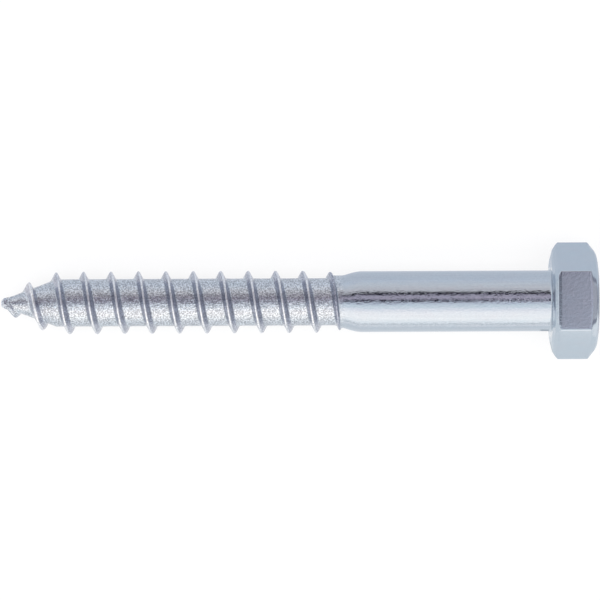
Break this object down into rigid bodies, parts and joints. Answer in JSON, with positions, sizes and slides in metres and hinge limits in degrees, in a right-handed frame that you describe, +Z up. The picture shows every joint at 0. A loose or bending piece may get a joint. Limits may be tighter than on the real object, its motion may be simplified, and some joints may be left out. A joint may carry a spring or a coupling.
{
  "type": "lag screw",
  "caption": "Hexagon-head lag screw for wood, with a coarse rolled right-hand thread, a pointed end, a plain shank and a bright zinc finish.",
  "frame": {"origin": "centre of the bounding box at the surface the screw lies on", "axes": "+X towards the head, with the tip at -X; +Z up, square to the head's upper flat apart from the 2.3 degree lean of the resting screw; +Y to the left when looking from the tip to the head"},
  "size_m": [0.098, 0.019, 0.0169],
  "materials": {
    "zinc_plated_steel": "bright bluish zinc plating, satin along the shank and slightly mottled on the rolled thread"
  },
  "bodies": {
    "root": {"lag_screw": "zinc_plated_steel"}
  },
  "joints": []
}
